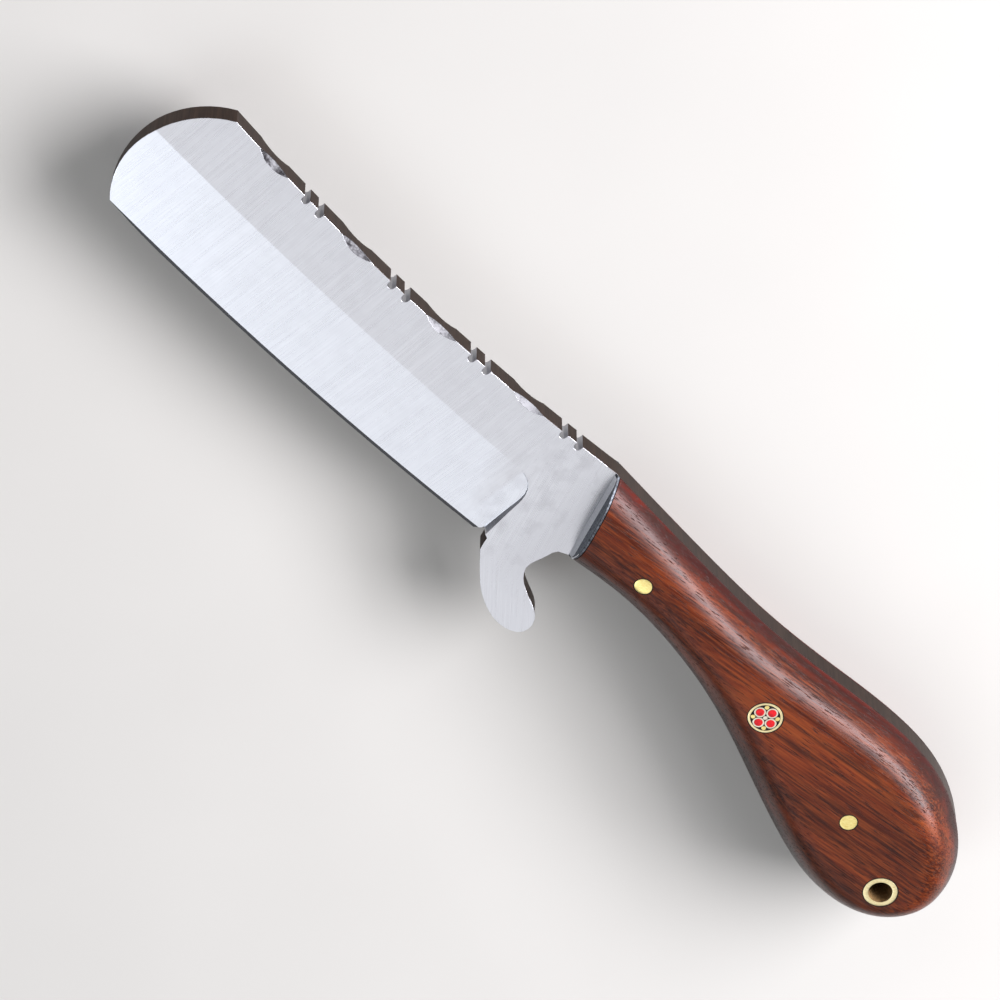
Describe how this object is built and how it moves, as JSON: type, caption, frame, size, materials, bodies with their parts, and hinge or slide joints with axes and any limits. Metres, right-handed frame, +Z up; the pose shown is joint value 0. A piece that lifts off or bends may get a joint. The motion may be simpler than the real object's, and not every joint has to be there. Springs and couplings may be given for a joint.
{
  "type": "full-tang stockman knife",
  "caption": "Fixed-blade knife with a square-tipped blade, a hooked finger guard cut from the same steel, and dark red wooden scales pinned to a full tang, with a thong tube at the butt.",
  "frame": {"origin": "centre of the bottom of the bounding box: under the middle of the knife, on the plane that the lower scale rests on", "axes": "+X along the knife from the blade's tip to the butt, +Y across it towards the spine, +Z up through its thickness as it lies on its side"},
  "size_m": [0.2117, 0.0374, 0.0195],
  "materials": {
    "satin_steel": "fine satin grind, lightly brushed across the blade, bright on the worn corners",
    "grey_steel": "dull grey, pitted, with a smooth light foot",
    "rosewood": "red-brown rosewood, open pores, oiled and buffed to a soft gloss",
    "epoxy": "dark cured glue line",
    "brass": "pale yellow brass, sanded flush with the wood and buffed",
    "nickel_silver": "warm silver, sanded flush and buffed",
    "red_resin": "solid red resin core, sanded flush"
  },
  "bodies": {
    "root": {"blade_and_tang": "satin_steel", "near_scale": "rosewood", "near_front_plate": "grey_steel", "near_glue_film": "epoxy", "far_scale": "rosewood", "far_front_plate": "grey_steel", "far_glue_film": "epoxy", "front_pin": "brass", "rear_pin": "brass", "mosaic_tube": "brass", "mosaic_sleeve_1": "nickel_silver", "mosaic_sleeve_2": "nickel_silver", "mosaic_sleeve_3": "nickel_silver", "mosaic_sleeve_4": "nickel_silver", "mosaic_red_core_1": "red_resin", "mosaic_red_core_2": "red_resin", "mosaic_red_core_3": "red_resin", "mosaic_red_core_4": "red_resin", "mosaic_gap_rod_1": "brass", "mosaic_gap_rod_2": "brass", "mosaic_gap_rod_3": "brass", "mosaic_gap_rod_4": "brass", "mosaic_centre_rod": "nickel_silver", "lanyard_tube": "brass"}
  },
  "joints": []
}
